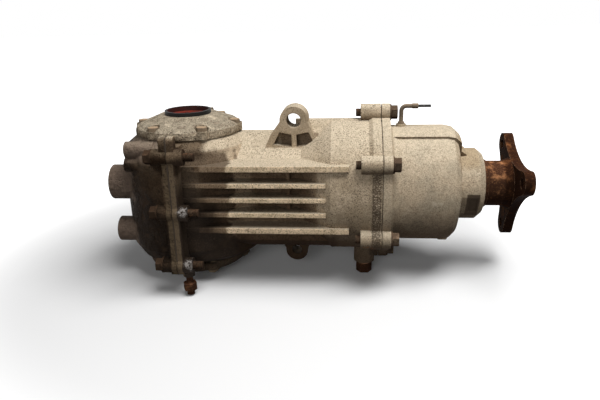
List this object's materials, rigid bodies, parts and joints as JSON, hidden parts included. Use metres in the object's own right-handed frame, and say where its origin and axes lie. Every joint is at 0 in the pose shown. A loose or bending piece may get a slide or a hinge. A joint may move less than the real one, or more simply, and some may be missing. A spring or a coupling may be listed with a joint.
{
  "type": "rear differential",
  "caption": "Rear final drive with clutch coupling: finned casting, spiral bevel gears, bevel differential, bearings, seals, breather and a three-arm input flange.",
  "frame": {"origin": "centre of the companion flange's outer face, where the propeller shaft bolts on", "axes": "+X along the pinion axis out of the flange, +Z along the axle axis towards the upper output seal, +Y completes the frame"},
  "size_m": [0.431, 0.1764, 0.1859],
  "materials": {
    "carrier_casting": "sand cast, oil stained",
    "cover_casting": "sand cast, dark oil film",
    "coupling_casting": "die cast, dusty",
    "retainer_casting": "sand cast, dusty",
    "sealant": "cured sealant",
    "zinc_bolts": "weathered, light rust",
    "rusty_plug": "rusty",
    "copper_washer": "dull",
    "rusty_steel": "rusty steel",
    "pipe_steel": "dull plated",
    "black_rubber": "satin",
    "output_seal_rubber": "satin",
    "bearing_steel": "ground",
    "gear_steel": "oiled gear steel",
    "case_iron": "machined iron",
    "clutch_steel": "oiled",
    "coil_pack": "varnished winding"
  },
  "bodies": {
    "housing": {"carrier_case": "carrier_casting", "rear_cover": "cover_casting", "rear_cover_gasket": "sealant", "rear_cover_bolts": "zinc_bolts", "coupling_cover": "coupling_casting", "coupling_gasket": "sealant", "coupling_cover_bolts": "zinc_bolts", "dowel_pins": "zinc_bolts", "top_bearing_retainer": "retainer_casting", "bottom_bearing_retainer": "retainer_casting", "retainer_bolts": "zinc_bolts", "output_seal_top": "output_seal_rubber", "output_seal_bottom": "output_seal_rubber", "filler_plug": "rusty_plug", "drain_plug": "rusty_plug", "drain_plug_washer": "copper_washer", "lower_stud": "rusty_plug", "breather_pipe": "pipe_steel", "vent_line_stub": "black_rubber", "front_oil_seal": "black_rubber", "front_bearing_outer_ring": "bearing_steel", "front_snap_ring": "bearing_steel", "magnet_coil": "coil_pack", "pinion_bearing_cups": "bearing_steel", "side_bearing_cups": "bearing_steel"},
    "input": {"companion_flange": "rusty_steel", "dust_deflector": "rusty_steel", "coupling_drum": "clutch_steel", "flange_nut": "rusty_steel", "front_bearing_inner_ring": "bearing_steel", "front_bearing_balls": "bearing_steel", "outer_clutch_plates": "clutch_steel", "armature": "clutch_steel"},
    "pinion": {"drive_pinion": "gear_steel", "bearing_spacer": "gear_steel", "pinion_nut": "gear_steel", "pinion_bearing_cones": "bearing_steel", "pinion_bearing_rollers": "bearing_steel", "clutch_hub": "gear_steel", "inner_clutch_plates": "clutch_steel", "cam_balls": "bearing_steel", "pilot_cam": "gear_steel"},
    "pressure_plate": {"pressure_cam": "gear_steel"},
    "case": {"differential_case": "case_iron", "ring_gear": "gear_steel", "ring_gear_bolts": "zinc_bolts", "cross_pin": "gear_steel", "side_bearing_cones": "bearing_steel", "side_bearing_rollers": "bearing_steel"},
    "side_top": {"side_gear_top": "gear_steel"},
    "side_bottom": {"side_gear_bottom": "gear_steel"},
    "spider_near": {"spider_gear_near": "gear_steel"},
    "spider_far": {"spider_gear_far": "gear_steel"}
  },
  "joints": [
    {"name": "input_spin", "type": "hinge", "parent": "housing", "child": "input", "pos_m": [-0.05, 0, 0], "axis": [1, 0, 0], "continuous": true},
    {"name": "case_spin", "type": "hinge", "parent": "housing", "child": "case", "pos_m": [-0.351, 0, 0], "axis": [0, 0, 1], "continuous": true},
    {"name": "pinion_spin", "type": "hinge", "parent": "housing", "child": "pinion", "pos_m": [-0.25, 0, 0], "axis": [1, 0, 0], "continuous": true},
    {"name": "clutch_press", "type": "slide", "parent": "pinion", "child": "pressure_plate", "axis": [1, 0, 0], "range_m": [0, 0.0008]},
    {"name": "side_top_spin", "type": "hinge", "parent": "case", "child": "side_top", "pos_m": [-0.351, 0, 0.03], "axis": [0, 0, 1], "continuous": true},
    {"name": "side_bottom_spin", "type": "hinge", "parent": "case", "child": "side_bottom", "pos_m": [-0.351, 0, -0.03], "axis": [0, 0, 1], "continuous": true},
    {"name": "spider_near_spin", "type": "hinge", "parent": "case", "child": "spider_near", "pos_m": [-0.351, -0.02, 0], "axis": [0, 1, 0], "continuous": true},
    {"name": "spider_far_spin", "type": "hinge", "parent": "case", "child": "spider_far", "pos_m": [-0.351, 0.02, 0], "axis": [0, 1, 0], "continuous": true}
  ],
  "couplings": [
    {"joint": "pinion_spin", "follows": "case_spin", "ratio": 2.75},
    {"joint": "side_bottom_spin", "follows": "side_top_spin", "ratio": -1},
    {"joint": "spider_near_spin", "follows": "side_top_spin", "ratio": 1.4},
    {"joint": "spider_far_spin", "follows": "side_top_spin", "ratio": -1.4}
  ]
}
